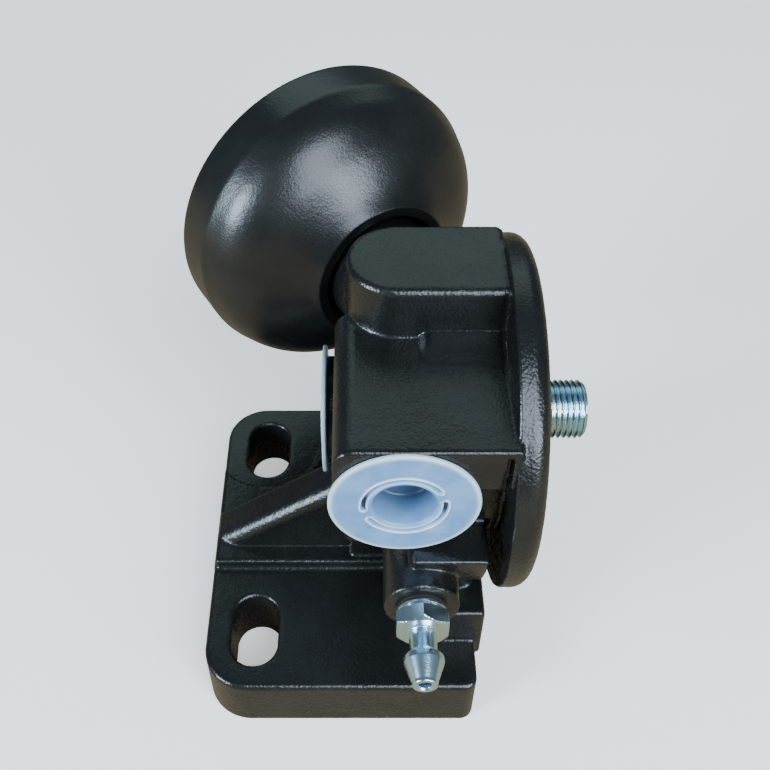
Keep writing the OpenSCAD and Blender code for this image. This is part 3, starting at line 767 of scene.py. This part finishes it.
def bleed_nipple():
    """Bleed screw: round collar, hexagon cut by chamfer cones, neck, barb and a drilled tip. The
    radius at each height is the lesser of the hexagon's and the cones'."""
    flats, columns = 6.5, 192
    collar_h, hex_low, hex_high, chamfer = 0.8, 2.3, 7.1, 1.0
    bore, tip, body_r, body_end = 1.6, 21.4, 4.0, -14.0
    sixth, twelfth = math.pi / 3, math.pi / 6
    turn = np.arange(columns) * 2 * math.pi / columns
    hexagon = flats / np.cos((turn + twelfth) % sixth - twelfth)
    collar = [(0.9, body_end), (body_r - 0.4, body_end), (body_r, body_end + 0.4), (body_r, collar_h),
              (6.0, collar_h), (6.35, collar_h + 0.2), (6.45, collar_h + 0.5), (6.4, hex_low - 0.5),
              (6.1, hex_low - 0.25), (5.6, hex_low - 0.08)]
    heights = [z for _, z in collar]
    radii = [np.full(columns, r) for r, _ in collar]
    low_rows = np.linspace(hex_low + 0.05, hex_low + chamfer, 7)
    high_rows = np.linspace(hex_high - chamfer, hex_high - 0.05, 7)
    for z in np.r_[hex_low, low_rows, high_rows, hex_high]:
        low_cone = 6.3 + (z - hex_low) * 1.7
        high_cone = 6.2 + (hex_high - z) * 1.5
        heights.append(z)
        radii.append(np.minimum(hexagon, min(low_cone, high_cone)))
    neck = [(5.2, hex_high + 0.05), (3.5, hex_high + 0.1, 0.5), (3.4, 12.6, 0.8)]
    barb = [(5.0, 13.9, 0.6), (5.0, 15.3, 0.8), (3.2, 20.4, 0.6)]
    barb += [(3.05, tip - 0.05, 0.35), (2.1, tip, 0.15)]
    drilled = [(bore, tip - 0.5, 0.1), (bore, 8.0, 0.0), (0.9, 0.0, 0.0)]
    for r, z in rounded(neck + barb + drilled, arc_steps=4):
        heights.append(z)
        radii.append(np.full(columns, r))
    r = np.array(radii)
    z = np.broadcast_to(np.array(heights)[:, None], r.shape)
    points = around(BLEED_AT, FRONT, r, z, np.broadcast_to(turn, r.shape)).reshape(-1, 3)
    faces = closed_grid_faces(len(r), columns)[:, ::-1]
    return mesh_object("bleed_nipple", points, faces, ZINC, "bleed", ["bleed_screw"], 24.0)


def swell(distance, width, power=2):
    """Smooth hump of height 1 at distance 0: e to the minus (distance / width) to a power."""
    return np.exp(-((distance / width) ** power))


def transit_plug(name, centre, axis, node, body, turn_by):
    """Plug: on a polar grid the top's height is the flange, less a tear groove that two bridges
    interrupt, with a raised bead on each side of the groove that closes round its ends, and less a
    round cup; the skirt is plain. Beads and rim carry a value of painted highlight, the groove's open
    slots and the cup a value of painted shade."""
    flange_r, flange_t = (PLUG_HIGH[0] - PLUG_LOW[0]) / 2, 1.2
    groove_r, cup_r, skirt_r, skirt_l, columns = 9.75, 7.7, 10.2, 9.0, 288
    bridge_half, bead_out, bead_wide, bead_rise = 2.2, 0.88, 0.27, 0.42
    slot_at, slot_reach, slot_depth, groove_depth = 0.42, 0.26, 0.5, 0.45
    floor_h, cup_lip, axis_gap = -skirt_l + 1.4, 0.3, 0.02
    turn = np.arange(columns) * 2 * math.pi / columns
    across = np.unique(np.round(np.r_[
        np.linspace(cup_r + 0.35, groove_r - 1.45, 3),
        np.linspace(groove_r - 1.4, groove_r + 1.6, 48),
        np.linspace(groove_r + 1.8, flange_r - 0.9, 16)], 4))
    r, t = np.meshgrid(across, turn, indexing="ij")
    bridge = np.abs((t - turn_by + math.pi / 2) % math.pi - math.pi / 2) * groove_r
    to_groove = np.hypot(r - groove_r, np.maximum(bridge_half - bridge, 0))
    open_slot = swell((turn_by - t) % math.pi - slot_at, slot_reach, 4)
    ditch = swell(to_groove, 0.34 + 0.16 * open_slot, 6)
    bead = swell(to_groove - bead_out, bead_wide) * np.where(r > groove_r, 1.0, 0.6)
    top = flange_t - (groove_depth + slot_depth * open_slot) * ditch + bead_rise * bead
    rim = rounded([(flange_r - 1.2, flange_t - 0.05), (flange_r, flange_t, 0.4), (flange_r, 0.0, 0.4),
                   (skirt_r, 0.0, 0.2), (skirt_r, -skirt_l, 0.8), (axis_gap, -skirt_l)], arc_steps=4)[1:]
    inside = rounded([(axis_gap, -skirt_l), (axis_gap, floor_h), (cup_r - 0.6, floor_h, 0.8),
                      (cup_r, flange_t - cup_lip, 0.25), (cup_r + cup_lip, flange_t - cup_lip)],
                     arc_steps=4)[1:-1]
    lower = np.vstack([rim, inside])
    rr = np.vstack([r, np.repeat(lower[:, :1], columns, 1)])
    zz = np.vstack([top, np.repeat(lower[:, 1:], columns, 1)])
    # Painted highlight: a pale band along the flange's rim edge, on the rim's outer rows and on the beads
    rim_edge_highlight = swell(r - flange_r + 0.9, 0.3) * 0.4
    rim_side_highlight = (rim[:, :1] > skirt_r + 1) * 0.75
    # Painted shade on the cup's floor and walls below its lip
    cup_shade = (inside[:, 1:] < flange_t - 0.6) * 0.8
    plain_rim, plain_cup = np.zeros((len(rim), columns)), np.zeros((len(inside), columns))
    painted_highlight = np.vstack([np.maximum(bead, rim_edge_highlight), np.repeat(rim_side_highlight, columns, 1), plain_cup])
    # Painted shade in the groove's open slots beside the bridges, and in the cup
    shade = np.vstack([ditch * open_slot, plain_rim, np.repeat(cup_shade, columns, 1)])
    points = around(centre, axis, rr, zz, np.broadcast_to(turn, rr.shape)).reshape(-1, 3)
    faces = closed_grid_faces(len(rr), columns)
    piece = mesh_object(name, points, faces, PLUG, body, [node], 50.0)
    for attribute, values in (("painted_highlight", painted_highlight), ("shade", shade)):
        layer = piece.data.attributes.new(attribute, "FLOAT", "POINT")
        layer.data.foreach_set("value", values.ravel().astype(np.float32))
    return piece


def dress_cad_nodes():
    """Materials for the CAD nodes that stay as they are."""
    finishes = {
        ZINC: ["gland_nut", "knob_screw", "knob_washer", "pump_stem"],
        STEEL: ["barrel_liner", "piston_clip", "return_spring", "inlet_valve_spring",
                "outlet_valve_spring"],
        BRASS: ["guide_bush", "piston", "inlet_valve_seat", "outlet_valve_seat"],
        RUBBER: ["gland_o_ring", "stem_wiper", "piston_seal", "inlet_valve_disc", "outlet_valve_disc",
                 "bleed_washer"],
    }
    for material, nodes in finishes.items():
        for node in nodes:
            mesh = frame["nodes"][node].data
            mesh.materials.clear()
            mesh.materials.append(material)


# ---------------------------------------------------------------- stage, light and camera

def pale_floor():
    """Plain floor, pale to the eye and warm wood-toned in what the part mirrors."""
    half = 3.0
    mesh = bpy.data.meshes.new("floor")
    corners = [(-half, -half, 0), (half, -half, 0), (half, half, 0), (-half, half, 0)]
    mesh.from_pydata(corners, [], [(0, 1, 2, 3)])
    s = Shader("floor_finish", Roughness=0.9, Specular_IOR_Level=0.1, Emission_Strength=1.0)
    seen = s.add("ShaderNodeLightPath")
    s.feed(Emission_Color=s.mix(seen, rgb(0, 0, 0), rgb(0.60, 0.60, 0.60)),
           Base_Color=s.mix(seen, rgb(0.36, 0.27, 0.16), rgb(0.95, 0.95, 0.95)))
    mesh.materials.append(s.material)
    floor = bpy.data.objects.new("floor", mesh)
    bpy.context.scene.collection.objects.link(floor)


LIT_POINT = Vector((0.03, 0.0, 0.06))
SKY = rgb(0.70, 0.86, 1.0)
SKY_STRENGTH = 0.16


def area_light(name, place, size, power, colour):
    """Rectangular lamp in metres and watts, turned to the middle of the part."""
    data = bpy.data.lights.new(name, "AREA")
    data.shape = "RECTANGLE"
    data.size, data.size_y = size
    data.energy = power
    data.color = colour
    lamp = bpy.data.objects.new(name, data)
    lamp.location = place
    lamp.rotation_euler = (LIT_POINT - Vector(place)).to_track_quat("-Z", "Y").to_euler()
    bpy.context.scene.collection.objects.link(lamp)


def lights():
    """Three windows, a dim room behind and an even sky."""
    area_light("window_front", (0.46, -0.9, 0.93), (0.7, 1.1), 25.0, (0.76, 0.89, 1.0))
    area_light("window_left", (-1.0, -0.62, 0.5), (0.45, 0.5), 24.0, (0.70, 0.86, 1.0))
    area_light("window_right", (0.95, -0.85, 0.5), (0.5, 0.4), 11.0, (0.76, 0.89, 1.0))
    area_light("room_back", (0.05, 0.95, 0.95), (1.3, 0.7), 2.6, (0.74, 1.0, 0.97))
    world = bpy.data.worlds.new("studio")
    world.use_nodes = True
    background = world.node_tree.nodes["Background"]
    background.inputs["Color"].default_value = SKY
    background.inputs["Strength"].default_value = SKY_STRENGTH
    bpy.context.scene.world = world


def camera():
    """Camera in front of the part, looking back and down on it, with a small sideways shift."""
    eye = np.array([30.5, -183.8, 285.1]) * MM
    down = math.radians(47.1)
    film_width, focal_length, nearest = 36.0, 47.7, 0.01
    data = bpy.data.cameras.new("camera")
    data.sensor_width = film_width
    data.lens = focal_length
    data.shift_x = 0.0325
    data.clip_start = nearest
    view = bpy.data.objects.new("camera", data)
    view.location = eye
    view.rotation_euler = (math.pi / 2 - down, 0.0, 0.0)
    bpy.context.scene.collection.objects.link(view)
    bpy.context.scene.camera = view


camera()
lights()
pale_floor()
cast_head()
knob_bell()
knob_cover()
threaded_stud()
bleed_nipple()
transit_plug("plug_front", FRONT_PORT, FRONT, "port_plug_front", "front_plug", math.radians(20))
transit_plug("plug_side", SIDE_PORT, LEFT, "port_plug_side", "side_plug", math.radians(60))
dress_cad_nodes()
